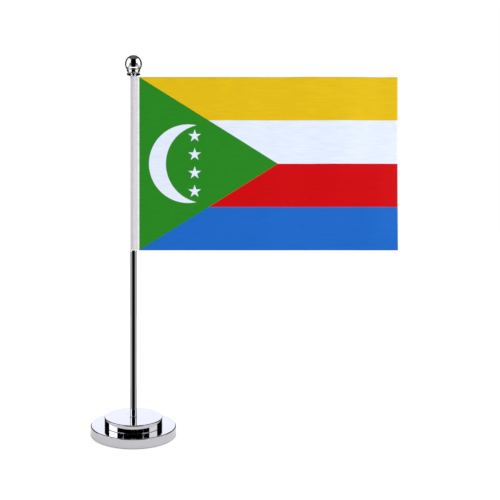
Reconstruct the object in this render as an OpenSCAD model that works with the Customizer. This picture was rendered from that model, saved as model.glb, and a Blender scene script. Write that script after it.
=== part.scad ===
// Desk flag stand: a two-tier weighted base, a stepped pole, a ball finial that unscrews
// and a printed flag whose sewn sleeve stands on the pole's shoulder and turns round it.
// Origin: centre of the underside, on the pole's axis. +Z is up and the flag flies towards +X.

/* [Base] */
// Diameter of the large lower tier
lower_tier_d = 69.2; // [62:0.2:90]
// Height of the lower tier's top above the desk
lower_tier_h = 7.8; // [7.4:0.2:10]
// Diameter of the small upper tier
upper_tier_d = 47; // [38:0.5:54]
// Height of the upper tier alone
upper_tier_h = 6.4; // [5:0.2:9]
// Thickness of the pressed steel sheet
sheet_t = 0.8; // [0.6:0.1:1]
// Radius of the pressed edges
edge_r = 0.9; // [0.9:0.1:1.4]
// Thickness of the non-slip pad
pad_t = 1.2; // [0.8:0.1:1.4]

/* [Pole] */
// Outside diameter of the lower tube
tube_d = 5.5; // [5.5:0.1:6.5]
// Diameter of the thinner upper rod
rod_d = 4.2; // [4.1:0.1:4.6]
// Length of the upper rod that is hidden in the tube
rod_overlap = 20; // [10:1:30]
// Height of the rod's top end above the desk
pole_top = 290; // [260:1:400]

/* [Finial] */
// Diameter of the ball
ball_d = 13.8; // [12:0.2:15]
// Height of the ball's centre above the rod's end
ball_lift = 10.2; // [10.2:0.1:11]
// Diameter of the two flared skirts under the ball
skirt_d = 11; // [10.6:0.1:11.6]
// Thread diameter of the stud
stud_d = 3; // [3:0.1:3.2]
// Length of thread that holds the finial
thread_length = 5; // [4:0.5:6]

/* [Flag] */
// Width of the printed cloth that shows, from the sleeve to the fly edge
flag_w = 210; // [150:1:240]
// Height of the cloth and of its sleeve
flag_h = 140.8; // [100:0.2:150]
// Thickness of the printed cloth
cloth_t = 0.3; // [0.2:0.05:0.4]
// Thickness of the sleeve's satin
sleeve_t = 0.22; // [0.2:0.02:0.3]
// Distance from the pole's axis to the sleeve's sewn edge
sleeve_reach = 4.7; // [4.7:0.05:6]
// Length of one stitch and the gap after it
stitch_pitch = 2.6; // [2.2:0.1:4]

/* [Hidden] */
$fn = 96;

eps = 0.05;              // how far a cut runs past the face that it opens
press_gap = 0.02;        // drawn gap round a piece that is pressed or glued in
run_gap = 0.08;          // gap between the sleeve and the rod that it turns on
thread_gap = 0.05;       // gap round a thread, which is drawn as a plain cylinder

// Base stack, from the desk up
pad_proud = 0.4;         // the pad stands this far below the lower tier's rim
pad_gap = 0.6;           // between the pad and the rim round it
ballast_gap = 0.3;       // between a ballast disc and its shell
stack_top = lower_tier_h + upper_tier_h;
lower_roof = lower_tier_h - sheet_t;
upper_roof = stack_top - sheet_t;

// M4 stud, nut and washers that clamp the stack
m4_d = 4;
m4_hole_d = 4.4;
nut_flats = 7;
nut_h = 2.2;
flat_washer_d = 9;
flat_washer_t = 0.8;
spring_washer_d = 7.6;
spring_washer_t = 0.9;
spring_washer_split = 0.8;   // width of the gap where the ring is cut
split_tilt = 20;             // slant of that cut, in degrees
recess_d = 12;
recess_h = 4.2;              // depth of the pocket for nut and washers
stud_clear = 0.15;           // stud end to pad
stud_grip = 14;              // length of the stud's fat end, pressed into the tube

// Pole
tube_bore_d = rod_d + 2 * press_gap;
sleeve_lift = 0.3;                       // from the tube's end to the sleeve that stands on it
finial_room = 0.4;                       // from the sleeve's top to the finial
shoulder = pole_top - finial_room - flag_h - sleeve_lift;
tip_r = 0.25;                            // rounding of the tube's top edge
tap_depth = thread_length + 4;
tap_d = stud_d + 2 * thread_gap;

// Finial
lip_r = 0.6;                             // rounding above a skirt's lip
lip_inset = 0.5;                         // how far in the slope under a lip ends
lip_drop = 0.35;                         // how far down it ends
lip_x = skirt_d / 2 - lip_r;
lip_levels = [1.8, 4.6];                 // heights of the two lips over the collar's foot
flare_r = 1.6;                           // radius of the hollow curve from a lip up to its waist
flare_turn = 50;                         // how far round its lip that curve starts
undercut = 0.25;                         // how far a skirt's underside rises towards the axis
neck_r = rod_d / 2 + 0.35;
collar_h = 5.3;
collar_low = pole_top + thread_gap;
ball_z = pole_top + ball_lift;
seat_gap = 0.04;                         // between the ball and its seat
stud_in_ball = 8;                        // stud length above the rod's end
fit_gap = 0.03;                          // between the stud and the finial

// Flag
flag_top = pole_top - finial_room;
flag_low = flag_top - flag_h;
sleeve_in = rod_d / 2 + run_gap;
sleeve_out = sleeve_in + sleeve_t;
lip = 1.7;                               // overlap of the sleeve's edges on the cloth
lip_y = cloth_t / 2 + sleeve_t;          // half the thickness of the sewn edge
thread_r = 0.12;
wedge_angle = 52;                        // where the sleeve's flat sides leave its round
stitch_l = stitch_pitch - 0.7;
stitch_n = floor((flag_h - 3) / stitch_pitch);
stitch_x = sleeve_reach - lip / 2;
stitch_low = flag_low + 1.8;

// Printed zones, as shares of the cloth's height
triangle_reach = 0.797;
stripe_colours = ["#1d69c9", "#d00209", "#e5eeff", "#e4be13"];
chrome = "#c8cad0";
iron = "#4a4b4d";
steel = "#9a9ca0";

// A disc whose top edge is rounded, from height low to height high
module rounded_disc(r, low, high, edge) {
    rotate_extrude() {
        translate([0, low]) square([r, high - low - edge]);
        translate([0, low]) square([r - edge, high - low]);
        intersection() {
            translate([r - edge, high - edge]) circle(edge);
            translate([0, low]) square([r, high - low]);
        }
    }
}

// A pressed cup, open underneath, with a hole in its roof
module pressed_cup(r, low, high, hole_d) {
    difference() {
        rounded_disc(r, low, high, edge_r);
        rounded_disc(r - sheet_t, low - eps, high - sheet_t, edge_r - sheet_t + eps);
        translate([0, 0, high - sheet_t - eps]) cylinder(d = hole_d, h = sheet_t + 2 * eps);
    }
}

module grip_pad() {
    color("#1b1b1d")
    cylinder(r = lower_tier_d / 2 - sheet_t - pad_gap, h = pad_t);
}

module lower_tier() {
    color(chrome)
    pressed_cup(lower_tier_d / 2, pad_proud, lower_tier_h, m4_hole_d);
}

module lower_ballast() {
    color(iron)
    difference() {
        translate([0, 0, pad_t])
            cylinder(r = lower_tier_d / 2 - sheet_t - ballast_gap, h = lower_roof - pad_t);
        translate([0, 0, pad_t - eps]) cylinder(d = recess_d, h = recess_h + eps);
        cylinder(d = m4_hole_d, h = lower_tier_h);
    }
}

module upper_tier() {
    color(chrome)
    pressed_cup(upper_tier_d / 2, lower_tier_h, stack_top, m4_hole_d);
}

module upper_ballast() {
    color(iron)
    difference() {
        translate([0, 0, lower_tier_h])
            cylinder(r = upper_tier_d / 2 - sheet_t - ballast_gap, h = upper_roof - lower_tier_h);
        translate([0, 0, lower_tier_h - eps]) cylinder(d = m4_hole_d, h = upper_tier_h);
    }
}

// The stack of washers and nut hangs from the roof of the recess
recess_roof = pad_t + recess_h;
spring_washer_z = recess_roof - flat_washer_t - spring_washer_t;
nut_z = spring_washer_z - nut_h;

module washer(outer_d, thickness, z) {
    translate([0, 0, z]) difference() {
        cylinder(d = outer_d, h = thickness);
        translate([0, 0, -eps]) cylinder(d = m4_hole_d, h = thickness + 2 * eps);
    }
}

module flat_washer() {
    color(steel) washer(flat_washer_d, flat_washer_t, recess_roof - flat_washer_t);
}

module spring_washer() {
    color(steel)
    difference() {
        washer(spring_washer_d, spring_washer_t, spring_washer_z);
        translate([spring_washer_d / 2, 0, spring_washer_z + spring_washer_t / 2])
            rotate([split_tilt, 0, 0])
            cube([spring_washer_d, spring_washer_split, 4 * spring_washer_t], center = true);
    }
}

module hex_nut() {
    color(steel)
    translate([0, 0, nut_z]) difference() {
        cylinder(d = nut_flats / cos(30), h = nut_h, $fn = 6);
        translate([0, 0, -eps]) cylinder(d = m4_d + 2 * thread_gap, h = nut_h + 2 * eps);
    }
}

module foot_stud() {
    color(steel) {
        translate([0, 0, pad_t + stud_clear])
            cylinder(d = m4_d, h = stack_top - pad_t - stud_clear);
        translate([0, 0, stack_top]) cylinder(d = rod_d, h = stud_grip);
    }
}

module lower_pole() {
    color(chrome)
    difference() {
        rounded_disc(tube_d / 2, stack_top, shoulder, tip_r);
        translate([0, 0, stack_top - eps])
            cylinder(d = tube_bore_d, h = shoulder - stack_top + 2 * eps);
    }
}

module upper_pole() {
    color(chrome)
    difference() {
        translate([0, 0, shoulder - rod_overlap])
            cylinder(d = rod_d, h = pole_top - shoulder + rod_overlap);
        translate([0, 0, pole_top - tap_depth]) cylinder(d = tap_d, h = tap_depth + eps);
    }
}

module finial_stud() {
    color(steel)
    translate([0, 0, pole_top - thread_length]) cylinder(d = stud_d, h = thread_length + stud_in_ball);
}

// Points on an arc round [x, z], from one angle to another
function arc(x, z, r, from, to, steps = 8) =
    [for (i = [0 : steps]) let (a = from + (to - from) * i / steps) [x + r * cos(a), z + r * sin(a)]];

// One skirt's outline: underside, slope to the lip, round the lip and up the hollow flare to the top
function skirt(inner, z, top) = let (
        flare_x = lip_x + (lip_r + flare_r) * cos(flare_turn),
        flare_z = z + (lip_r + flare_r) * sin(flare_turn),
        flare_end = asin(max(0, (flare_z - top) / flare_r))
    ) concat(
        [[inner, z - lip_drop + undercut], [skirt_d / 2 - lip_inset, z - lip_drop]],
        arc(lip_x, z, lip_r, 0, flare_turn),
        arc(flare_x, flare_z, flare_r, 180 + flare_turn, 180 + flare_end)
    );

// A neck, two flared skirts, and a seat for the ball
module finial_collar() {
    waist_r = lip_x + (lip_r + flare_r) * cos(flare_turn) - flare_r;
    color(chrome)
    difference() {
        rotate_extrude() translate([0, collar_low]) polygon(concat(
            [[0, 0], [neck_r, 0]],
            skirt(neck_r, lip_levels[0], lip_levels[1]),
            skirt(waist_r, lip_levels[1], collar_h),
            [[0, collar_h]]
        ));
        translate([0, 0, ball_z]) sphere(d = ball_d + 2 * seat_gap);
        translate([0, 0, pole_top - eps]) cylinder(d = stud_d + 2 * fit_gap, h = collar_h);
    }
}

module finial_ball() {
    color(chrome)
    difference() {
        translate([0, 0, ball_z]) sphere(d = ball_d);
        translate([0, 0, pole_top]) cylinder(d = stud_d + 2 * fit_gap, h = stud_in_ball + thread_gap);
    }
}

// A rod with straight sides that lead into a flat-ended lip of half-width y
module keyhole(r, reach, y, end, low, high) {
    side = 0.97 * r;     // the sides start just inside the round
    translate([0, 0, low]) {
        cylinder(r = r, h = high - low);
        linear_extrude(high - low) polygon([
            [0, 0],
            [side * cos(wedge_angle), side * sin(wedge_angle)], [reach, y], [end, y],
            [end, -y], [reach, -y], [side * cos(wedge_angle), -side * sin(wedge_angle)]
        ]);
    }
}

// Satin tape that wraps the rod and closes on both faces of the cloth
module pole_sleeve() {
    color("#dcdae0")
    difference() {
        keyhole(sleeve_out, sleeve_reach - lip, lip_y, sleeve_reach, flag_low, flag_top);
        keyhole(sleeve_in, sleeve_reach - lip, cloth_t / 2, sleeve_reach + 1,
            flag_low - eps, flag_top + eps);
    }
}

// The triangle at the hoist, which starts under the sleeve's lip
module hoist_triangle() {
    linear_extrude(cloth_t, center = true)
        polygon([[0, 0], [triangle_reach * flag_h, flag_h / 2], [0, flag_h]]);
}

// One piece of cloth, drawn in the colours that are printed on it
module flag_panel() {
    translate([sleeve_reach, 0, flag_low]) rotate([90, 0, 0]) {
        for (i = [0 : 3]) color(stripe_colours[i]) difference() {
            translate([0, i * flag_h / 4, -cloth_t / 2]) cube([flag_w, flag_h / 4, cloth_t]);
            hoist_triangle();
        }
        color("#288920") {
            hoist_triangle();
            translate([-lip, 0, -cloth_t / 2]) cube([lip, flag_h, cloth_t]);
        }
    }
}

// One row of stitches down each face of the sewn edge
module seam_thread() {
    color("#f2f1f4")
    for (side = [-1, 1], i = [0 : stitch_n - 1])
        translate([stitch_x, side * (lip_y + thread_r + press_gap), stitch_low + i * stitch_pitch])
            cylinder(r = thread_r, h = stitch_l, $fn = 16);
}

grip_pad();
lower_tier();
lower_ballast();
upper_tier();
upper_ballast();
foot_stud();
flat_washer();
spring_washer();
hex_nut();
lower_pole();
upper_pole();
finial_stud();
finial_collar();
finial_ball();
pole_sleeve();
flag_panel();
seam_thread();
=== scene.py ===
# %% [markdown]
# # A chromed desk flag
#
# The object is a small printed flag on a bright chromed stand: a round base in two steps, a slim pole
# and a ball finial. The structure comes in as a fixed frame of plain solids. This script gives every
# visible piece its true surface: turned and pressed metal by spinning outlines, cloth as thin sheets,
# thread as single stitches, and a procedural finish for each.

# %% Load the frame
from math import acos, asin, atan2, cos, degrees, pi, radians, sin

import bmesh
import bpy
from mathutils import Matrix, Vector


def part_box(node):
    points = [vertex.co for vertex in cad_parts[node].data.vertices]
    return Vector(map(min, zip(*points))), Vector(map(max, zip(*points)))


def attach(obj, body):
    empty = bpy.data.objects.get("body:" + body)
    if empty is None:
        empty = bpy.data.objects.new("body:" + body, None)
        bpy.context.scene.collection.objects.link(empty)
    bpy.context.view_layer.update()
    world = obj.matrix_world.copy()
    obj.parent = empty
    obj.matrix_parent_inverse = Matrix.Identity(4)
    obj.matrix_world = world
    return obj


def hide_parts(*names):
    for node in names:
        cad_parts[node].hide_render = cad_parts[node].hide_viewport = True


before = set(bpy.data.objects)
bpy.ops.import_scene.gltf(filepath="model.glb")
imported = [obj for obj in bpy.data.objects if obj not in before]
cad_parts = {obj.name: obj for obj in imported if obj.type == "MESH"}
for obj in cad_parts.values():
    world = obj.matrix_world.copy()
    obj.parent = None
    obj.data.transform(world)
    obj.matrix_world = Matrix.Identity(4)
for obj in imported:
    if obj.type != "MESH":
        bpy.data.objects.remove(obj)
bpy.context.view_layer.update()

MM = 0.001      # lengths below are in millimetres, and Blender's are in metres

# %% [markdown]
# ## Places
#
# Every place is read from the frame, so a piece made here lies exactly where the plain solid lies.
# A box's corners give the heights and radii of the round pieces, because they all stand on one axis.


# %% Read the heights and radii
def extent(node):
    """A solid's radius round the pole's axis, its lowest height and its highest, in millimetres."""
    low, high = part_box(node)
    return high.y / MM, low.z / MM, high.z / MM


lower_r, lower_foot, lower_top = extent("lower_tier")
upper_r, upper_foot, upper_top = extent("upper_tier")
tube_r, tube_foot, tube_top = extent("lower_pole")
rod_r, rod_foot, rod_top = extent("upper_pole")
stud_r, stud_foot, stud_top = extent("finial_stud")
ball_r, _, ball_top = extent("finial_ball")
skirt_r, collar_foot, collar_top = extent("finial_collar")
ball_z = ball_top - ball_r
cloth_low, cloth_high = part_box("flag_panel")
sleeve_low, sleeve_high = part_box("pole_sleeve")
hoist, fly = cloth_low.x / MM, cloth_high.x / MM
flag_foot, flag_top = cloth_low.z / MM, cloth_high.z / MM
flag_height = flag_top - flag_foot
cloth_t = (cloth_high.y - cloth_low.y) / MM
sleeve_out, sleeve_edge = -sleeve_low.x / MM, sleeve_high.x / MM
print(f"base {2 * lower_r:.1f} wide, pole {2 * tube_r:.1f}, cloth {fly - hoist:.1f} x {flag_height:.1f} mm")

# %% [markdown]
# ## Camera
#
# The camera stands level and almost straight in front of the pole, so upright lines stay upright and
# the base's rings look even. Its frame is shifted towards the fly and a little down, which takes in the
# whole flag and the base without turning the camera, as a view camera does with a sliding back.

# %% Set the camera
camera_place = Vector((5.3, -469.4, 166.4)) * MM
camera = bpy.data.objects.new("camera", bpy.data.cameras.new("camera"))
bpy.context.scene.collection.objects.link(camera)
camera.location = camera_place
camera.rotation_euler = (pi / 2, 0, 0)
camera.data.sensor_width = 36
camera.data.lens = 41.6
camera.data.shift_x = 0.22
camera.data.shift_y = -0.0426
bpy.context.scene.camera = camera
bpy.context.scene.view_settings.view_transform = "Standard"
print("camera", [round(v / MM) for v in camera_place], "mm")

# %% [markdown]
# ## Helpers for materials
#
# Colours are written as they are in a paint program and turned to the linear values that light works
# with. Grain is given in millimetres and turned to the scale that a texture takes. One function adds a
# node of any kind, sets it up and wires it, which keeps each recipe short.


# %% Colour and node helpers
def colour(code):
    """A linear colour from an sRGB hex code."""
    parts = [int(code[i:i + 2], 16) / 255 for i in (1, 3, 5)]
    return (*(c / 12.92 if c <= 0.04045 else ((c + 0.055) / 1.055) ** 2.4 for c in parts), 1.0)


def noise_scale(grain_mm):
    """A noise or cell texture's scale for a grain of that many millimetres."""
    return 1 / (grain_mm * MM)


def add(tree, kind, inputs=None, stops=None, **settings):
    """Adds a node with its settings, gives inputs a value or a link, and a ramp its (place, colour) stops."""
    node = tree.nodes.new(kind)
    for name, value in settings.items():
        setattr(node, name, value)
    for name, value in (inputs or {}).items():
        if isinstance(value, bpy.types.NodeSocket):
            tree.links.new(value, node.inputs[name])
        else:
            node.inputs[name].default_value = value
    for i, (position, shade) in enumerate(stops or []):
        points = node.color_ramp.elements
        point = points[i] if i < len(points) else points.new(position)
        point.position = position
        point.color = shade
    return node


def new_material(name):
    """An empty node material, its tree, its principled shader and its object coordinates."""
    made = bpy.data.materials.new(name)
    made.use_nodes = True
    tree = made.node_tree
    shader = tree.nodes["Principled BSDF"]
    place = add(tree, "ShaderNodeTexCoord").outputs["Object"]
    return made, tree, shader, place


# %% [markdown]
# ## Studio light
#
# Polished chrome has hardly any colour of its own: it shows the room. So the room is built like a
# studio for bright metal: a dark front, tall white panels at the left and right, and a low pale sheet
# close behind the base. Soft light reaches the cloth from all round, a little more from the right.
# Reflections and soft light are kept apart by asking what kind of ray meets the sky, so each can be
# set without spoiling the other.
#
# Mirrors see three patterns. Two follow the direction round the stand: one just below eye level, for the
# pole, and one lower down, for the undersides of the ball. Both are dark in front, bright at the sides
# and dark behind. The third is a ring low in front, wider than deep, where the lit table lies. The ceiling
# adds a faint glow from above.

# %% Read each ray's kind and direction
scene_world = bpy.data.worlds.new("studio")
bpy.context.scene.world = scene_world
scene_world.use_nodes = True
sky = scene_world.node_tree
sky.nodes.clear()
ray = add(sky, "ShaderNodeLightPath")
way = add(sky, "ShaderNodeTexCoord")
part = add(sky, "ShaderNodeSeparateXYZ", {"Vector": way.outputs["Generated"]})
front = add(sky, "ShaderNodeMath", {0: part.outputs["Y"], 1: -1.0}, operation="MULTIPLY")
side = add(sky, "ShaderNodeMath", {0: part.outputs["X"], 1: front.outputs[0]}, operation="ARCTAN2")
turn = add(sky, "ShaderNodeMath", {0: side.outputs[0]}, operation="ABSOLUTE")
round_share = add(sky, "ShaderNodeMath", {0: turn.outputs[0], 1: pi}, operation="DIVIDE")
print("round_share runs from 0 in front of the stand to 1 behind it")

# %% Draw the two patterns round the stand
grey = {share: (share, share, share, 1.0) for share in (0.0, 0.06, 0.35, 0.62, 0.94, 1.0)}
eye_level = add(sky, "ShaderNodeValToRGB", {"Fac": round_share.outputs[0]}, stops=[
    (0.10, grey[0.0]), (0.22, grey[0.06]), (0.40, grey[0.35]), (0.52, grey[0.94]),
    (0.64, grey[0.94]), (0.72, grey[0.0])])
low_down = add(sky, "ShaderNodeValToRGB", {"Fac": round_share.outputs[0]}, stops=[
    (0.18, grey[0.0]), (0.25, grey[0.62]), (0.60, grey[0.62]), (0.70, grey[0.0])])
sinking = add(sky, "ShaderNodeMapRange", {"Value": part.outputs["Z"], "From Min": -0.31, "From Max": -0.37})
round_about = add(sky, "ShaderNodeMix", {
    "Factor": sinking.outputs["Result"], "A": eye_level.outputs["Color"], "B": low_down.outputs["Color"]},
    data_type="RGBA")
print("eye level has", len(eye_level.color_ramp.elements), "greys, low down has",
      len(low_down.color_ramp.elements))

# %% Draw the lit table and the ceiling
TABLE_SHAPE, TABLE_GLOW = 0.6, 1.8     # the ring's depth as a share of its width, and its brightness
CEILING_GLOW = 0.15
below = add(sky, "ShaderNodeMapRange", {"Value": part.outputs["Z"], "From Min": 0.02, "From Max": -0.02})
narrowed = add(sky, "ShaderNodeVectorMath", {0: way.outputs["Generated"], 1: (TABLE_SHAPE, 1.0, 0.0)},
               operation="MULTIPLY")
from_down = add(sky, "ShaderNodeVectorMath", {0: narrowed.outputs["Vector"]}, operation="LENGTH")
ring = add(sky, "ShaderNodeValToRGB", {"Fac": from_down.outputs["Value"]}, stops=[
    (0.25, grey[0.0]), (0.31, grey[1.0]), (0.49, grey[1.0]), (0.58, grey[0.0])])
in_front = add(sky, "ShaderNodeMapRange", {
    "Value": front.outputs[0], "From Min": -0.02, "From Max": 0.1, "To Max": TABLE_GLOW})
table_light = add(sky, "ShaderNodeMath", {0: ring.outputs["Color"], 1: in_front.outputs["Result"]},
                  operation="MULTIPLY")
lower_half = add(sky, "ShaderNodeMath", {0: round_about.outputs["Result"], 1: table_light.outputs[0]},
                 operation="MAXIMUM")
low_light = add(sky, "ShaderNodeMath", {0: lower_half.outputs[0], 1: below.outputs["Result"]},
                operation="MULTIPLY")
ceiling = add(sky, "ShaderNodeMapRange", {
    "Value": part.outputs["Z"], "From Min": 0.80, "From Max": 0.90, "To Max": CEILING_GLOW})
brighter = add(sky, "ShaderNodeMath", {0: low_light.outputs[0], 1: ceiling.outputs["Result"]},
               operation="MAXIMUM")
print("table glows", TABLE_GLOW, "and the ceiling", CEILING_GLOW)

# %% Join reflections and soft light
ROOM_LIGHT = 1.25
SOFT_LEFT, SOFT_RIGHT = 0.45, 0.92
in_room = add(sky, "ShaderNodeMath", {0: brighter.outputs[0], 1: ROOM_LIGHT}, operation="MULTIPLY")
soft = add(sky, "ShaderNodeMapRange", {
    "Value": part.outputs["X"], "From Min": -1.0, "To Min": SOFT_LEFT, "To Max": SOFT_RIGHT})
in_mirror = add(sky, "ShaderNodeMix", {
    "Factor": ray.outputs["Is Glossy Ray"], "A": soft.outputs["Result"], "B": in_room.outputs[0]})
seen = add(sky, "ShaderNodeMix", {
    "Factor": ray.outputs["Is Camera Ray"], "A": in_mirror.outputs["Result"], "B": 1.0})
backdrop = add(sky, "ShaderNodeBackground", {"Color": colour("#ffffff"), "Strength": seen.outputs["Result"]})
add(sky, "ShaderNodeOutputWorld", {"Surface": backdrop.outputs["Background"]})
print("soft light", SOFT_LEFT, "from the left and", SOFT_RIGHT, "from the right")


# %% [markdown]
# ## Panels and table
#
# The panels are glowing sheets that only mirrors see. The table is a sheet of white acrylic lit from
# below, which studios use to lose the horizon and keep shadows faint. It comes in two parts: a wide
# one for the eye, and a small round one near the base that only the chrome reflects. Beyond that the
# mirror sees the dark room, as on a small table in a studio. Close round the base the glow is cut off,
# a painted contact shadow. On the wide part it stays under the rim. On the small part it reaches just
# past the rim, so the chrome shows it as a dark line along its foot.


# %% Studio helpers
def link(name, bm, material):
    """Puts a finished mesh into the scene as an object at the origin, and returns it."""
    mesh = bpy.data.meshes.new(name)
    bm.to_mesh(mesh)
    bm.free()
    mesh.materials.append(material)
    made = bpy.data.objects.new(name, mesh)
    bpy.context.scene.collection.objects.link(made)
    return made


def panel(name, x, y, z, code, strength):
    """A glowing upright sheet that fills the given ranges. The range across it has no width."""
    bm = bmesh.new()
    bmesh.ops.create_grid(bm, x_segments=1, y_segments=1, size=0.5)
    bmesh.ops.rotate(bm, verts=bm.verts, matrix=Matrix.Rotation(pi / 2, 3, "Y" if x[0] == x[1] else "X"))
    bmesh.ops.scale(bm, verts=bm.verts, vec=[max(hi - lo, 1) * MM for lo, hi in (x, y, z)])
    bmesh.ops.translate(bm, verts=bm.verts, vec=[(lo + hi) / 2 * MM for lo, hi in (x, y, z)])
    glow = bpy.data.materials.new(name)
    glow.use_nodes = True
    tree = glow.node_tree
    tree.nodes.clear()
    light = add(tree, "ShaderNodeEmission", {"Color": colour(code), "Strength": strength})
    add(tree, "ShaderNodeOutputMaterial", {"Surface": light.outputs["Emission"]})
    made = link(name, bm, glow)
    made.visible_camera = False
    made.visible_diffuse = False
    made.visible_shadow = False


# %% Hang the panels
REACH = 500                                 # from the pole to a side panel
PANEL_FOOT, STEP, PANEL_TOP = 150, 290, 1020
LOW_FRONT, HIGH_FRONT = -236, -640          # a side panel reaches further to the front above its step
HIGH_GLOW = 1.9
for name, x, back, low_glow in (("left", -REACH, 160, 3.2), ("right", REACH, 135, 1.85)):
    panel(f"{name}_panel_low", (x, x), (LOW_FRONT, back), (PANEL_FOOT, STEP), "#ffffff", low_glow)
    panel(f"{name}_panel_high", (x, x), (HIGH_FRONT, back), (STEP, PANEL_TOP), "#ffffff", HIGH_GLOW)
panel("back_sheet", (-60, 60), (110, 110), (6, 78), "#eff2ff", 1.6)
print("five glowing sheets hung")


# %% Sheets for the table
PAINTED_SHADOW_BLUR = 0.6        # width over which the glow rises again at the edge of the painted contact shadow


def disc(radius, height):
    """A flat round sheet."""
    bm = bmesh.new()
    bmesh.ops.create_circle(bm, cap_ends=True, segments=128, radius=radius * MM)
    bmesh.ops.translate(bm, verts=bm.verts, vec=(0, 0, height * MM))
    return bm


def lit_sheet(name, glow, painted_shadow_reach):
    """Milky acrylic lit from below. Round the stand the glow is cut off, a painted contact shadow that ends
    the given millimetres past its rim (inside it when negative).
    """
    made, tree, shader, place = new_material(name)
    haze = add(tree, "ShaderNodeTexNoise", {"Vector": place, "Scale": noise_scale(1.1), "Detail": 2.0})
    milk = add(tree, "ShaderNodeValToRGB", {"Fac": haze.outputs["Fac"]}, stops=[
        (0.3, colour("#bfbfc1")), (0.7, colour("#c4c4c6"))])
    tree.links.new(milk.outputs["Color"], shader.inputs["Base Color"])
    far = add(tree, "ShaderNodeVectorMath", {0: place}, operation="LENGTH")
    # No glow close round the stand's rim: a painted contact shadow.
    glow_past_painted_shadow = add(tree, "ShaderNodeMapRange", {
        "Value": far.outputs["Value"], "From Min": (lower_r + painted_shadow_reach - PAINTED_SHADOW_BLUR) * MM,
        "From Max": (lower_r + painted_shadow_reach) * MM, "To Max": glow})
    tree.links.new(glow_past_painted_shadow.outputs["Result"], shader.inputs["Emission Strength"])
    shader.inputs["Emission Color"].default_value = colour("#ffffff")
    shader.inputs["Roughness"].default_value = 0.9
    shader.inputs["Specular IOR Level"].default_value = 0.1
    return made


# %% Lay the table
NEAR_RADIUS, WIDE_RADIUS = 68, 30000
NEAR_LEVEL, WIDE_LEVEL = -0.01, -0.03       # a hair under the pad, and one under the other
# The last number is how far the painted contact shadow reaches past the rim.
near_acrylic = lit_sheet("lit_acrylic_near", 0.56, 1.6)
wide_acrylic = lit_sheet("lit_acrylic_wide", 0.70, -1.0)
table_near = link("table_near", disc(NEAR_RADIUS, NEAR_LEVEL), near_acrylic)
table_near.visible_camera = False
table_near.visible_diffuse = False
table_near.visible_shadow = False
table_wide = link("table_wide", disc(WIDE_RADIUS, WIDE_LEVEL), wide_acrylic)
table_wide.visible_glossy = False
print("table laid,", NEAR_RADIUS, "mm of it for the chrome")

# %% [markdown]
# ## Key light
#
# One large soft light stands at the right, in front. It rounds the sleeve and gives the cloth a little
# direction. Mirrors don't see it.

# %% Add the key light
key = bpy.data.objects.new("key", bpy.data.lights.new("key", "AREA"))
bpy.context.scene.collection.objects.link(key)
key.data.shape = "RECTANGLE"
key.data.size = 0.6
key.data.size_y = 0.8
key.data.energy = 3.0
key.location = Vector((900, -500, 500)) * MM
key.rotation_euler = (Vector((0, 0, 160)) * MM - key.location).to_track_quat("-Z", "Y").to_euler()
key.visible_glossy = False
print("key light of", key.data.energy, "W")

# %% [markdown]
# ## Chrome
#
# Decorative chrome is a skin of chromium a few tenths of a micron thick over bright nickel, on
# polished steel. Chromium reflects about 55 % of the light, nearly grey with a hint of blue. The mirror
# is never perfect: pressing leaves a faint waviness, wiping leaves hairline marks, and fingers leave
# patches that are slightly duller. All of that goes into roughness and a very small bump.


# %% Chrome finish
def chrome(name, wave_mm, hair_mm):
    """Polished chrome plate. Its slow waves are wave_mm wide, and its wipe marks hair_mm apart."""
    made, tree, shader, place = new_material(name)
    wave = add(tree, "ShaderNodeTexNoise", {"Vector": place, "Scale": noise_scale(wave_mm), "Detail": 1.0})
    smear = add(tree, "ShaderNodeTexNoise", {"Vector": place, "Scale": noise_scale(11), "Detail": 4.0})
    stretch = add(tree, "ShaderNodeMapping", {"Vector": place, "Scale": (1.0, 1.0, 0.04)})
    hair = add(tree, "ShaderNodeTexNoise", {
        "Vector": stretch.outputs["Vector"], "Scale": noise_scale(hair_mm), "Detail": 3.0})
    dull = add(tree, "ShaderNodeMapRange", {
        "Value": smear.outputs["Fac"], "From Min": 0.45, "From Max": 0.75, "To Min": 0.025, "To Max": 0.07})
    tree.links.new(dull.outputs["Result"], shader.inputs["Roughness"])
    tint = add(tree, "ShaderNodeValToRGB", {"Fac": smear.outputs["Fac"]}, stops=[
        (0.3, colour("#c4c3c7")), (0.7, colour("#c8c7ca"))])
    tree.links.new(tint.outputs["Color"], shader.inputs["Base Color"])
    ripple = add(tree, "ShaderNodeBump", {
        "Strength": 0.06, "Distance": 0.02 * MM, "Height": wave.outputs["Fac"]})
    scratch = add(tree, "ShaderNodeBump", {
        "Strength": 0.05, "Distance": 0.001 * MM, "Height": hair.outputs["Fac"],
        "Normal": ripple.outputs["Normal"]})
    tree.links.new(scratch.outputs["Normal"], shader.inputs["Normal"])
    shader.inputs["Metallic"].default_value = 1.0
    return made


chromed_steel_sheet = chrome("chromed_steel_sheet", 14, 0.5)
chromed_steel_rod = chrome("chromed_steel_rod", 20, 0.4)
chromed_turned_brass = chrome("chromed_turned_brass", 9, 0.3)
print("three chrome finishes")

# %% [markdown]
# ## Turned and pressed metal
#
# A lathe makes round metal by holding an outline against a spinning blank, and Blender's spin does the
# same: half a cross-section is drawn once and swept round the axis. Corners of real sheet metal are
# never sharp, because the tool that presses them has a radius, so every corner is a short arc. A mirror
# shows the smallest error in its normals, so a support point just before each arc keeps the flats flat.
# An arc may be flattened: where sheet is drawn over a die, the flat starts to fall before the corner.


# %% Lathe helpers
def arc(x, z, radius, start, end, steps=8, flat=1.0):
    """Points on an arc, from one angle to another in degrees, measured from outward, flat times as high."""
    turns = [radians(start + (end - start) * i / steps) for i in range(steps + 1)]
    return [(x + radius * cos(t), z + radius * flat * sin(t)) for t in turns]


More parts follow.
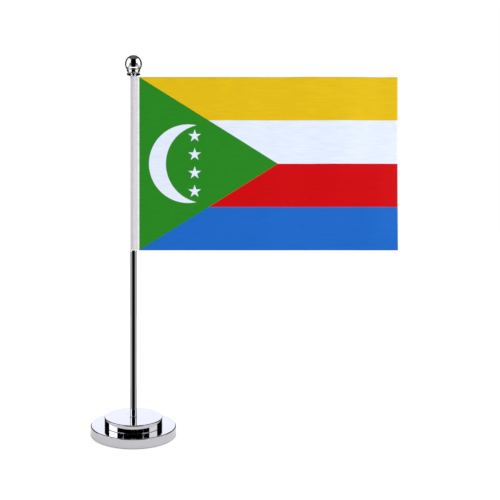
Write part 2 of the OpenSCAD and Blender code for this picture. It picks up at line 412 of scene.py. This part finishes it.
def lathe(name, outline, material, body, steps=192, closed=True):
    """Spins an outline of (radius, height) points, in millimetres, into a piece that rides on a body."""
    bm = bmesh.new()
    points = [bm.verts.new((r * MM, 0, z * MM)) for r, z in outline]
    pairs = list(zip(points, points[1:]))
    if closed:
        pairs.append((points[-1], points[0]))
    edges = [bm.edges.new(pair) for pair in pairs]
    bmesh.ops.spin(bm, geom=points + edges, cent=(0, 0, 0), axis=(0, 0, 1), dvec=(0, 0, 0),
                   angle=2 * pi, steps=steps, use_merge=True, use_duplicate=False)
    bmesh.ops.remove_doubles(bm, verts=bm.verts, dist=0.0005 * MM)
    bmesh.ops.recalc_face_normals(bm, faces=bm.faces)
    made = link(name, bm, material)
    made.data.shade_smooth()
    made.data.set_sharp_from_angle(angle=radians(32))
    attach(made, body)
    print(name, len(made.data.polygons), "faces")
    return made


# %% [markdown]
# ## The two base tiers
#
# Each tier is a shallow cup of 0.8 mm steel, pressed in a die with its open side down. The die rounds
# the top edge, and polishing rounds the rim where it was cut. The wall has a thickness because a view
# from below looks into the gap between the rim and the pad.

# %% Press the tiers
SHEET = 0.8
EDGE, EDGE_FLAT = 1.15, 0.5     # how far in the pressed edge starts, and its height as a share of that
SUPPORT = 0.12                  # from a flat's last point to the arc after it
BEND_IN, BEND_DOWN = 0.9, 0.6   # the slope inside the pressed edge
TRIMMED = 0.1                   # how far the rim's inner corner is broken
BOLT_HOLE = 2.2


def cup(name, radius, foot, top, foot_round, node):
    """A pressed cup, open underneath, with a hole in its roof for the clamping stud."""
    inner, roof = radius - SHEET, top - SHEET
    outline = [
        (BOLT_HOLE, top), (radius - EDGE - SUPPORT, top),
        *arc(radius - EDGE, top - EDGE * EDGE_FLAT, EDGE, 90, 0, 12, EDGE_FLAT),
        (radius, top - EDGE * EDGE_FLAT - SUPPORT), (radius, foot + foot_round + SUPPORT),
        *arc(radius - foot_round, foot + foot_round, foot_round, 0, -90, 6),
        (inner + TRIMMED, foot), (inner, foot + TRIMMED),
        (inner, roof - BEND_DOWN), (inner - BEND_IN, roof), (BOLT_HOLE, roof)]
    made = lathe(name, outline, chromed_steel_sheet, "stand", steps=256)
    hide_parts(node)
    return made


cup("lower_step", lower_r, lower_foot, lower_top, 0.45, "lower_tier")
cup("upper_step", upper_r, upper_foot, upper_top, 0.35, "upper_tier")

# %% [markdown]
# ## The pole
#
# The pole's lower part is a drawn tube with a lightly broken edge at each end, and it stands on the
# upper tier. A thinner rod is pressed into it and carries the flag. The rod's end is tapped for the
# finial, which shows only when the finial is unscrewed, so the hole is made too, without its thread.

# %% Draw the tube
BORE_GAP = 0.02                       # between the rod and the tube that it is pressed into
TUBE_ROUND, TUBE_SUPPORT = 0.12, 1    # the edge's radius, and where the straight wall starts
bore_r = rod_r + BORE_GAP
tube_in = tube_r - TUBE_ROUND
tube = lathe("pole_tube", [
    (bore_r, tube_foot), (tube_in, tube_foot),
    *arc(tube_in, tube_foot + TUBE_ROUND, TUBE_ROUND, -90, 0, 5),
    (tube_r, tube_foot + TUBE_SUPPORT), (tube_r, tube_top - TUBE_SUPPORT),
    *arc(tube_in, tube_top - TUBE_ROUND, TUBE_ROUND, 0, 90, 5),
    (bore_r, tube_top)], chromed_steel_rod, "stand", steps=96)
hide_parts("lower_pole")

# %% Draw and tap the rod
ROD_ROUND, CHAMFER = 0.15, 0.2
TAP_GAP, TAP_SPARE, DRILL_POINT = 0.05, 4, 0.8     # round the stud, below it, and the hole's cone
tap_r = stud_r + TAP_GAP
tap_foot = stud_foot - TAP_SPARE
rod = lathe("pole_rod", [
    (0, rod_foot), (rod_r - CHAMFER, rod_foot), (rod_r, rod_foot + CHAMFER),
    (rod_r, rod_top - 2 * ROD_ROUND), *arc(rod_r - ROD_ROUND, rod_top - ROD_ROUND, ROD_ROUND, 0, 90, 4),
    (tap_r + CHAMFER, rod_top), (tap_r, rod_top - CHAMFER), (tap_r, tap_foot),
    (0, tap_foot - DRILL_POINT)], chromed_steel_rod, "stand", steps=96, closed=False)
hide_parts("upper_pole")

# %% [markdown]
# ## The finial
#
# Ball and collar are turned from brass and plated. The collar is a neck, two skirts that flare like
# small bells, one over the other, and a dished seat that the ball sits in. A skirt's hollow flare and its
# rounded lip are two arcs that meet without a corner, so the mirror runs on smoothly from one to the
# other. Under the lip the tool leaves a short slope, which mirrors the dark below and draws a thin line.
# The ball is drilled for the stud, so its outline starts at the hole and ends on the axis.

# %% Turn the ball
STUD_GAP, HOLE_SPARE, HOLE_POINT = 0.03, 0.05, 0.3     # round the stud, over it, and up to the hole's tip
hole_r = stud_r + STUD_GAP
dip = degrees(acos(hole_r / ball_r))
ball = lathe("ball", [
    *arc(0, ball_z, ball_r, -dip, 90, 56),
    (0, stud_top + HOLE_POINT), (hole_r, stud_top + HOLE_SPARE)], chromed_turned_brass, "finial", steps=128)
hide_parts("finial_ball")

# %% Shape the skirts
LIP = 0.6                  # rounding above a skirt's lip
INSET, DROP = 0.5, 0.35    # how far in and down the slope under a lip ends
BROKEN = 0.05              # how far a sharp corner is broken
FLARE = 1.6                # radius of the hollow curve above the lip
FLARE_TURN = 50            # how far round the lip that curve starts, in degrees
UNDERCUT = 0.25            # how far a skirt's underside rises towards the axis
LIP_LEVELS = (1.8, 4.6)    # heights of the two lips over the collar's foot
lip_centre = skirt_r - LIP
flare_x = lip_centre + (LIP + FLARE) * cos(radians(FLARE_TURN))
flare_rise = (LIP + FLARE) * sin(radians(FLARE_TURN))
low_lip, high_lip = (collar_foot + level for level in LIP_LEVELS)


def skirt(inner, lip_height, stop):
    """A skirt's outline: underside, slope, lip, and the hollow flare up to an angle in degrees."""
    foot = lip_height - DROP
    return [
        (inner, foot + UNDERCUT), (skirt_r - INSET - BROKEN, foot),
        (skirt_r - INSET + BROKEN, foot + BROKEN), (skirt_r - BROKEN / 2, lip_height - BROKEN),
        *arc(lip_centre, lip_height, LIP, 0, FLARE_TURN, 8),
        *arc(flare_x, lip_height + flare_rise, FLARE, 180 + FLARE_TURN, 180 + stop, 16)[1:]]


# %% Turn the collar
NECK_WALL, NECK_CHAMFER = 0.35, 0.15     # how much wider than the rod the neck is, and its broken edge
SEAT_GAP = 0.04
neck = rod_r + NECK_WALL
seat_r = ball_r + SEAT_GAP
seat_x = (seat_r ** 2 - (ball_z - collar_top) ** 2) ** 0.5
seat_start = degrees(atan2(collar_top - ball_z, seat_x))
seat_end = degrees(atan2(-(seat_r ** 2 - hole_r ** 2) ** 0.5, hole_r))
flare_stop = degrees(asin((high_lip + flare_rise - collar_top) / FLARE))
collar = lathe("collar", [
    (hole_r, collar_foot), (neck - NECK_CHAMFER, collar_foot), (neck, collar_foot + NECK_CHAMFER),
    *skirt(neck, low_lip, 0), *skirt(flare_x - FLARE, high_lip, flare_stop),
    *arc(0, ball_z, seat_r, seat_start, seat_end, 12)], chromed_turned_brass, "finial", steps=128)
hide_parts("finial_collar")

# %% [markdown]
# ## The finial's screw
#
# A real thread is a ridge that climbs round a core. Spin can climb while it turns, so one small
# triangle, spun with a step upward, becomes the whole ridge. It shows when the finial is undone.

# %% Plate the screw
zinc, tree, shader, place = new_material("zinc_plated_steel")
cloud = add(tree, "ShaderNodeTexNoise", {"Vector": place, "Scale": noise_scale(1.5), "Detail": 5.0})
shine = add(tree, "ShaderNodeValToRGB", {"Fac": cloud.outputs["Fac"]}, stops=[
    (0.3, colour("#b9bdc2")), (0.7, colour("#cfd1d2"))])
tree.links.new(shine.outputs["Color"], shader.inputs["Base Color"])
grain = add(tree, "ShaderNodeMapRange", {"Value": cloud.outputs["Fac"], "To Min": 0.22, "To Max": 0.42})
tree.links.new(grain.outputs["Result"], shader.inputs["Roughness"])
fine = add(tree, "ShaderNodeTexNoise", {"Vector": place, "Scale": noise_scale(0.15)})
bump = add(tree, "ShaderNodeBump", {"Strength": 0.15, "Distance": 0.01 * MM, "Height": fine.outputs["Fac"]})
tree.links.new(bump.outputs["Normal"], shader.inputs["Normal"])
shader.inputs["Metallic"].default_value = 1.0
print("zinc plate mixed")

# %% Cut the thread
PITCH = 0.5                     # climb of one turn
CREST = 0.28                    # height of the ridge over the core
ROOT = 0.05                     # how deep the ridge's foot is sunk in the core
TOOTH = (0.26, 0.6, 0.94)       # heights of the ridge's three corners, as shares of the pitch
STEPS_A_TURN = 24
core_r = stud_r - CREST
turns = (stud_top - stud_foot - 2 * PITCH) / PITCH
steps = round(turns * STEPS_A_TURN)
bm = bmesh.new()
tooth = [bm.verts.new(Vector((r, 0, stud_foot + share * PITCH)) * MM)
         for r, share in zip((core_r - ROOT, stud_r, core_r - ROOT), TOOTH)]
face = bm.faces.new(tooth)
bmesh.ops.spin(bm, geom=[face, *face.edges, *face.verts], cent=(0, 0, 0), axis=(0, 0, 1),
               dvec=(0, 0, turns * PITCH * MM / steps), angle=turns * 2 * pi, steps=steps,
               use_merge=False, use_duplicate=False)
core = bmesh.ops.create_cone(bm, cap_ends=True, segments=32, radius1=core_r * MM, radius2=core_r * MM,
                             depth=(stud_top - stud_foot) * MM)
bmesh.ops.translate(bm, verts=core["verts"], vec=(0, 0, (stud_top + stud_foot) / 2 * MM))
bmesh.ops.recalc_face_normals(bm, faces=bm.faces)
screw = link("finial_screw", bm, zinc)
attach(screw, "finial_thread")
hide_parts("finial_stud")
print("thread of", round(turns, 1), "turns,", len(screw.data.polygons), "faces")

# %% [markdown]
# ## The cloth
#
# The flag is a light polyester satin, printed and hot-cut. It hangs from its stitched edge and is stiff
# enough to stand out nearly flat, with only shallow folds that grow towards the fly. A grid of fine cells
# takes those folds as a smooth displacement, and Solidify gives the cloth its thickness.


# %% Shape the folds
STITCHED = 2                                # how far past the sleeve the stitches keep the cloth flat
SLOW_FOLD, SLOW_DEPTH = (96, 270), 0.75     # a fold's length along the cloth and up it, and its depth
QUICK_FOLD, QUICK_DEPTH = (43, -160), 0.25


def fade(value, start, end):
    """A smooth step from 0 at start to 1 at end."""
    share = min(max((value - start) / (end - start), 0), 1)
    return share * share * (3 - 2 * share)


def fold(x, z):
    """How far the cloth stands out of its plane at a place on it, in millimetres."""
    loose = fade(x, sleeve_edge + STITCHED, fly)
    slow = sin(2 * pi * (x / SLOW_FOLD[0] + z / SLOW_FOLD[1]) + 0.6)
    quick = sin(2 * pi * (x / QUICK_FOLD[0] + z / QUICK_FOLD[1]) + 2.0)
    return loose * (SLOW_DEPTH * slow + QUICK_DEPTH * quick)


# %% Weave the flag
CELL = 1.25
length = fly - hoist
bm = bmesh.new()
bmesh.ops.create_grid(bm, x_segments=round(length / CELL), y_segments=round(flag_height / CELL), size=0.5)
bmesh.ops.rotate(bm, verts=bm.verts, matrix=Matrix.Rotation(pi / 2, 3, "X"))
bmesh.ops.scale(bm, verts=bm.verts, vec=(length * MM, 1, flag_height * MM))
bmesh.ops.translate(bm, verts=bm.verts, vec=Vector((hoist + fly, 0, flag_foot + flag_top)) / 2 * MM)
for v in bm.verts:
    v.co.y = fold(v.co.x / MM, v.co.z / MM) * MM
print("cloth of", len(bm.faces), "cells")

# %% [markdown]
# ## The printed satin
#
# Satin is woven with long threads lying over many cross threads, which gives it a soft directional
# gloss. The dye soaks in, so the design shows on both faces. The design is a set of distances: to a
# stripe's edge, to the triangle's slanted side, to the two circles that leave a crescent between them,
# and to the sides of a star. A distance turned into a mask with a narrow ramp gives the slightly soft
# edge of a print. Satin thread lies about 0.12 mm apart; it is drawn at 0.35 mm so that it shows.


# %% Shapes for the print
def wave_scale(period_mm):
    """A wave texture's scale for a period in millimetres: its own period is pi / 10 units."""
    return pi / 10 / (period_mm * MM)


def circle_distance(tree, x, z, centre_x, radius):
    """Distance from a circle's line, negative inside it."""
    dx = add(tree, "ShaderNodeMath", {0: x, 1: centre_x}, operation="SUBTRACT").outputs[0]
    offset = add(tree, "ShaderNodeCombineXYZ", {"X": dx, "Y": z}).outputs[0]
    far = add(tree, "ShaderNodeVectorMath", {0: offset}, operation="LENGTH").outputs["Value"]
    return add(tree, "ShaderNodeMath", {0: far, 1: radius}, operation="SUBTRACT").outputs[0]


def star_distance(tree, x, z, centre_x, radius):
    """Distance from the sides of an upright five-pointed star, negative inside it."""
    dx = add(tree, "ShaderNodeMath", {0: x, 1: centre_x}, operation="SUBTRACT").outputs[0]
    angle = add(tree, "ShaderNodeMath", {0: dx, 1: z}, operation="ARCTAN2").outputs[0]
    point = add(tree, "ShaderNodeMath", {0: angle, 1: -pi / 5, 2: pi / 5}, operation="WRAP").outputs[0]
    half = add(tree, "ShaderNodeMath", {0: point}, operation="ABSOLUTE").outputs[0]
    offset = add(tree, "ShaderNodeCombineXYZ", {"X": dx, "Y": z}).outputs[0]
    far = add(tree, "ShaderNodeVectorMath", {0: offset}, operation="LENGTH").outputs["Value"]
    # A point's side leans 18 degrees from its own middle line, through the tip
    lean = add(tree, "ShaderNodeMath", {0: half, 1: -radians(72)}, operation="ADD").outputs[0]
    reach = add(tree, "ShaderNodeMath", {0: lean}, operation="COSINE").outputs[0]
    outward = add(tree, "ShaderNodeMath", {0: far, 1: reach}, operation="MULTIPLY").outputs[0]
    return add(tree, "ShaderNodeMath", {0: outward, 1: radius * cos(radians(72))},
               operation="SUBTRACT").outputs[0]


# %% [markdown]
# The weave is one recipe for the flag and its sleeve: fine ribs for the threads, a slow unevenness
# along them, and a slight mottle in the dye.


# %% Weave and gloss
def weave(tree, shader, place, base, thread_mm, depth_mm):
    """Finishes a satin: mottled colour, thread relief and soft gloss, from a base colour socket."""
    across = add(tree, "ShaderNodeTexWave", {
        "Vector": place, "Scale": wave_scale(thread_mm), "Distortion": 0.6, "Detail": 1.0,
        "Detail Scale": 2.0}, bands_direction="X")
    along = add(tree, "ShaderNodeTexWave", {
        "Vector": place, "Scale": wave_scale(thread_mm * 1.6), "Distortion": 0.8, "Detail": 1.0,
        "Detail Scale": 2.0}, bands_direction="Z")
    slub_place = add(tree, "ShaderNodeMapping", {"Vector": place, "Scale": (0.12, 1.0, 1.0)})
    slub = add(tree, "ShaderNodeTexNoise", {
        "Vector": slub_place.outputs["Vector"], "Scale": noise_scale(1.4), "Detail": 3.0})
    threads = add(tree, "ShaderNodeMix", {
        "Factor": 0.3, "A": across.outputs["Fac"], "B": along.outputs["Fac"]})
    height = add(tree, "ShaderNodeMath", {0: slub.outputs["Fac"], 1: threads.outputs["Result"]},
                 operation="ADD")
    relief = add(tree, "ShaderNodeBump", {
        "Strength": 0.5, "Distance": depth_mm * MM, "Height": height.outputs[0]})
    tree.links.new(relief.outputs["Normal"], shader.inputs["Normal"])
    mottle = add(tree, "ShaderNodeValToRGB", {"Fac": slub.outputs["Fac"]}, stops=[
        (0.3, colour("#f6f6f6")), (0.7, colour("#ffffff"))])
    dyed = add(tree, "ShaderNodeMix", {"Factor": 1.0, "A": base, "B": mottle.outputs["Color"]},
               data_type="RGBA", blend_type="MULTIPLY")
    tree.links.new(dyed.outputs["Result"], shader.inputs["Base Color"])
    gloss = add(tree, "ShaderNodeMapRange", {
        "Value": slub.outputs["Fac"], "To Min": 0.46, "To Max": 0.62})
    tree.links.new(gloss.outputs["Result"], shader.inputs["Roughness"])
    shader.inputs["Specular IOR Level"].default_value = 0.05


# %% Dye the stripes
GOLD, WHITE, RED, BLUE, GREEN = (
    colour(code) for code in ("#e4be13", "#e5eeff", "#d0030a", "#1d69c9", "#288920"))
satin, tree, shader, place = new_material("printed_polyester_satin")
millimetres = add(tree, "ShaderNodeVectorMath", {0: place, "Scale": 1 / MM}, operation="SCALE")
at = add(tree, "ShaderNodeSeparateXYZ", {"Vector": millimetres.outputs["Vector"]})
x = add(tree, "ShaderNodeMath", {0: at.outputs["X"], 1: sleeve_edge}, operation="SUBTRACT").outputs[0]
z = add(tree, "ShaderNodeMath", {0: at.outputs["Z"], 1: (flag_foot + flag_top) / 2},
        operation="SUBTRACT").outputs[0]
share = add(tree, "ShaderNodeMapRange", {
    "Value": z, "From Min": -flag_height / 2, "From Max": flag_height / 2}).outputs["Result"]
stripes = add(tree, "ShaderNodeValToRGB", {"Fac": share}, stops=[
    (0.0, BLUE), (0.25, RED), (0.5, WHITE), (0.75, GOLD)])
stripes.color_ramp.interpolation = "CONSTANT"
print(len(stripes.color_ramp.elements), "stripes of", round(flag_height / 4, 1), "mm")

# %% Draw the triangle, the moon and the stars
APEX = 112.6                            # from the sleeve's edge to the triangle's point
MOON_X, MOON_R = 39.8, 31.9             # the moon's outer circle
BITE_X, BITE_R = 53.6, 32.0             # the circle that is cut out of it
STAR_X, STAR_GAP, STAR_R = 45.0, 15.0, 5.4
slope = flag_height / 2 / APEX
drop = add(tree, "ShaderNodeMath", {0: z}, operation="ABSOLUTE").outputs[0]
lean = add(tree, "ShaderNodeMath", {0: x, 1: slope, 2: drop}, operation="MULTIPLY_ADD").outputs[0]
slant = add(tree, "ShaderNodeMath", {0: lean, 1: flag_height / 2}, operation="SUBTRACT").outputs[0]

outer = circle_distance(tree, x, z, MOON_X, MOON_R)
inner = circle_distance(tree, x, z, BITE_X, BITE_R)
clear = add(tree, "ShaderNodeMath", {0: inner, 1: -1.0}, operation="MULTIPLY").outputs[0]
moon = add(tree, "ShaderNodeMath", {0: outer, 1: clear}, operation="MAXIMUM").outputs[0]

row = add(tree, "ShaderNodeMath", {0: z, 1: 0.0, 2: STAR_GAP}, operation="WRAP").outputs[0]
star_z = add(tree, "ShaderNodeMath", {0: row, 1: STAR_GAP / 2}, operation="SUBTRACT").outputs[0]
star = star_distance(tree, x, star_z, STAR_X, STAR_R)
past = add(tree, "ShaderNodeMath", {0: drop, 1: 2 * STAR_GAP}, operation="SUBTRACT").outputs[0]
star_row = add(tree, "ShaderNodeMath", {0: star, 1: past}, operation="MAXIMUM").outputs[0]
print("four stars", STAR_GAP, "mm apart")

# %% Print the flag
BLEED = 0.09       # half the width over which the dye's edge is soft, in millimetres
in_triangle, in_moon, in_star = (
    add(tree, "ShaderNodeMapRange", {
        "Value": distance, "From Min": BLEED, "From Max": -BLEED}).outputs["Result"]
    for distance in (slant, moon, star_row))
emblem = add(tree, "ShaderNodeMath", {0: in_moon, 1: in_star}, operation="MAXIMUM").outputs[0]
hoist_green = add(tree, "ShaderNodeMix", {"Factor": emblem, "A": GREEN, "B": WHITE}, data_type="RGBA")
design = add(tree, "ShaderNodeMix", {
    "Factor": in_triangle, "A": stripes.outputs["Color"], "B": hoist_green.outputs["Result"]},
    data_type="RGBA")
weave(tree, shader, place, design.outputs["Result"], thread_mm=0.35, depth_mm=0.02)

flag = link("flag_cloth", bm, satin)
flag.data.shade_smooth()
solid = flag.modifiers.new("thickness", "SOLIDIFY")
solid.thickness = cloth_t * MM
solid.offset = 0
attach(flag, "flag")
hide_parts("flag_panel")
print("flag printed")

# %% [markdown]
# ## The sleeve
#
# A strip of plain pale satin is folded round the rod and sewn flat to both faces of the cloth. Its
# cross-section is drawn once as an open line (edge, round, edge), stretched up the pole in short steps,
# and thickened. Each step is pushed out a little unevenly, as a hand-fed seam is. Light is painted into
# its colour: the round part is painted grey for its shade, and the flat lips and the two hems are
# painted pale, as highlights.

# %% Draw the sleeve's section
SATIN = 0.22                # thickness of the satin
LIP_WIDTH = 1.7             # how far each edge lies flat on the cloth
OPEN_AT = 47                # degrees each side of the cloth where the round starts
mid_r = sleeve_out - SATIN / 2
lip_y = cloth_t / 2 + SATIN / 2
lip_x = sleeve_edge - LIP_WIDTH
lip_middle = sleeve_edge - LIP_WIDTH / 2
section = [
    (sleeve_edge, -lip_y), (lip_middle, -lip_y), (lip_x, -lip_y),
    *arc(0, 0, mid_r, -OPEN_AT, -360 + OPEN_AT, 44),
    (lip_x, lip_y), (lip_middle, lip_y), (sleeve_edge, lip_y)]

# %% Fold the sleeve
RISE = 2.0                  # about how high one step is
UNEVEN = 0.05
step_count = round(flag_height / RISE)
rise = flag_height / step_count
bm = bmesh.new()
line = [bm.verts.new(Vector((x, y, flag_foot)) * MM) for x, y in section]
for pair in zip(line, line[1:]):
    bm.edges.new(pair)
for step in range(step_count):
    level = (flag_foot + step * rise) * MM
    rim = [e for e in bm.edges if all(abs(v.co.z - level) < 0.001 * MM for v in e.verts)]
    grown = bmesh.ops.extrude_edge_only(bm, edges=rim)["geom"]
    bmesh.ops.translate(bm, verts=[g for g in grown if isinstance(g, bmesh.types.BMVert)],
                        vec=(0, 0, rise * MM))
for v in bm.verts:
    x, y, z = v.co / MM
    uneven = UNEVEN * (1 + sin(z / 3.1 + 2 * x) * sin(z / 7.3 + y))
    slack = uneven * fade(x, -1.5, 0.5) * fade(lip_x - x, 0.0, 1.2)
    v.co.x += slack * x / mid_r * MM
    v.co.y += slack * y / mid_r * MM
bmesh.ops.recalc_face_normals(bm, faces=bm.faces)
print("folded in", step_count, "steps")

# %% Dye the sleeve, with painted shade and painted highlights
# The hems are pale bands of painted highlight, HEM wide, with edges blurred over HEM_BLUR.
HEM, HEM_BLUR = 0.8, 0.15
LIP_HIGHLIGHT_SPAN = 0.15, 0.45        # where the painted highlight on the flat lip starts and is full, from the inner end of the lip
plain, tree, shader, place = new_material("plain_polyester_satin")
at = add(tree, "ShaderNodeSeparateXYZ", {"Vector": place})
# The flat lip is painted paler than the round part: a painted highlight.
painted_lip_highlight = add(tree, "ShaderNodeMapRange", {
    "Value": at.outputs["X"], "From Min": (lip_x + LIP_HIGHLIGHT_SPAN[0]) * MM, "From Max": (lip_x + LIP_HIGHLIGHT_SPAN[1]) * MM})
low_hem_highlight, high_hem_highlight = (
    add(tree, "ShaderNodeMapRange", {
        "Value": at.outputs["Z"], "From Min": (edge + blur) * MM, "From Max": edge * MM})
    for edge, blur in ((flag_foot + HEM, HEM_BLUR), (flag_top - HEM, -HEM_BLUR)))
hem_highlights = add(tree, "ShaderNodeMath", {0: low_hem_highlight.outputs["Result"], 1: high_hem_highlight.outputs["Result"]},
           operation="MAXIMUM")
painted_highlight = add(tree, "ShaderNodeMath", {0: hem_highlights.outputs[0], 1: painted_lip_highlight.outputs["Result"]}, operation="MAXIMUM")
# Grey where the sleeve is round, a painted shade; pale on the lip and the hems, a painted highlight.
painted_shade_and_highlight = add(tree, "ShaderNodeValToRGB", {"Fac": painted_highlight.outputs[0]}, stops=[
    (0.0, colour("#d6d2d9")), (1.0, colour("#f4f9f6"))])
weave(tree, shader, place, painted_shade_and_highlight.outputs["Color"], thread_mm=0.35, depth_mm=0.02)

sleeve = link("sleeve", bm, plain)
sleeve.data.shade_smooth()
solid = sleeve.modifiers.new("thickness", "SOLIDIFY")
solid.thickness = SATIN * MM
solid.offset = 0
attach(sleeve, "flag")
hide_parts("pole_sleeve")

# %% [markdown]
# ## The seam
#
# One row of lock stitches holds the sleeve. Each stitch is a short length of polyester thread that
# dives into the cloth at both ends, so it is made as a long drop shape, sunk by a quarter, and repeated
# down both faces. The drop has few faces because there are over a hundred of them.

# %% Sew the seam
STITCHES = 53                   # on each face
STITCH_PITCH = 2.6
STITCH = 2.2                    # length of one between its two holes
THREAD_R = 0.16
FIRST_STITCH = 0.95             # from the seam's foot to the middle of its first stitch
LEAN = 4                        # degrees that a stitch leans
thread_low, thread_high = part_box("seam_thread")
seam_x = (thread_low.x + thread_high.x) / 2 / MM
seam_y = cloth_t / 2 + SATIN + THREAD_R / 2
bm = bmesh.new()
for face_side in (-1, 1):
    for i in range(STITCHES):
        drop_shape = bmesh.ops.create_uvsphere(bm, u_segments=8, v_segments=6, radius=1.0)["verts"]
        bmesh.ops.scale(bm, verts=drop_shape, vec=Vector((THREAD_R, THREAD_R, STITCH / 2)) * MM)
        bmesh.ops.rotate(bm, verts=drop_shape, matrix=Matrix.Rotation(radians(LEAN), 3, "Y"))
        middle = thread_low.z / MM + FIRST_STITCH + i * STITCH_PITCH
        bmesh.ops.translate(bm, verts=drop_shape, vec=Vector((seam_x, face_side * seam_y, middle)) * MM)
print(2 * STITCHES, "stitches")

# %% Spin the thread
yarn, tree, shader, place = new_material("spun_polyester_thread")
twist_place = add(tree, "ShaderNodeMapping", {"Vector": place, "Rotation": (0, radians(35), 0)})
twist = add(tree, "ShaderNodeTexWave", {
    "Vector": twist_place.outputs["Vector"], "Scale": wave_scale(0.25)}, bands_direction="Z")
# The twist's grooves are painted a darker grey than its crests: a painted shade in the grooves.
painted_twist_shade = add(tree, "ShaderNodeValToRGB", {"Fac": twist.outputs["Fac"]}, stops=[
    (0.0, colour("#dcdbe0")), (1.0, colour("#fafafa"))])
tree.links.new(painted_twist_shade.outputs["Color"], shader.inputs["Base Color"])
bump = add(tree, "ShaderNodeBump", {"Strength": 0.6, "Distance": 0.03 * MM, "Height": twist.outputs["Fac"]})
tree.links.new(bump.outputs["Normal"], shader.inputs["Normal"])
shader.inputs["Roughness"].default_value = 0.6
stitches = link("stitches", bm, yarn)
stitches.data.shade_smooth()
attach(stitches, "flag")
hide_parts("seam_thread")
print("seam of", len(stitches.data.polygons), "faces")

# %% [markdown]
# ## What the base hides
#
# The pad, the iron discs and the clamping hardware keep the shapes of the frame and get a finish
# each. The pad is die-cut foam with closed cells, about 0.4 mm wide. The discs are cast iron straight
# from sand, rough and dark. The washer that locks the nut is oiled spring steel, and the stud, the nut
# and the flat washer have the screw's zinc plate.


# %% Finish the hidden pieces
def rough_solid(name, dark, light, grain_mm, depth_mm, roughness, metallic, cells=False):
    """A grainy solid: two shades mixed by a pattern of that grain, which also raises the surface."""
    made, tree, shader, place = new_material(name)
    kind = "ShaderNodeTexVoronoi" if cells else "ShaderNodeTexNoise"
    pattern = add(tree, kind, {"Vector": place, "Scale": noise_scale(grain_mm)})
    value = pattern.outputs["Distance" if cells else "Fac"]
    shades = add(tree, "ShaderNodeValToRGB", {"Fac": value}, stops=[
        (0.25, colour(dark)), (0.75, colour(light))])
    tree.links.new(shades.outputs["Color"], shader.inputs["Base Color"])
    bump = add(tree, "ShaderNodeBump", {"Strength": 0.5, "Distance": depth_mm * MM, "Height": value})
    tree.links.new(bump.outputs["Normal"], shader.inputs["Normal"])
    shader.inputs["Roughness"].default_value = roughness
    shader.inputs["Metallic"].default_value = metallic
    return made


foam = rough_solid("black_eva_foam", "#131315", "#26272a", 0.4, 0.08, 0.85, 0.0, cells=True)
iron = rough_solid("sand_cast_iron", "#343537", "#55565a", 0.7, 0.12, 0.7, 0.85)
spring = rough_solid("oiled_spring_steel", "#4b4b50", "#75757a", 0.3, 0.01, 0.35, 1.0)
finishes = {
    "grip_pad": foam, "lower_ballast": iron, "upper_ballast": iron,
    "foot_stud": zinc, "flat_washer": zinc, "hex_nut": zinc, "spring_washer": spring}
for node, finish in finishes.items():
    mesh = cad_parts[node].data
    mesh.materials.clear()
    mesh.materials.append(finish)
print("finished", ", ".join(finishes))
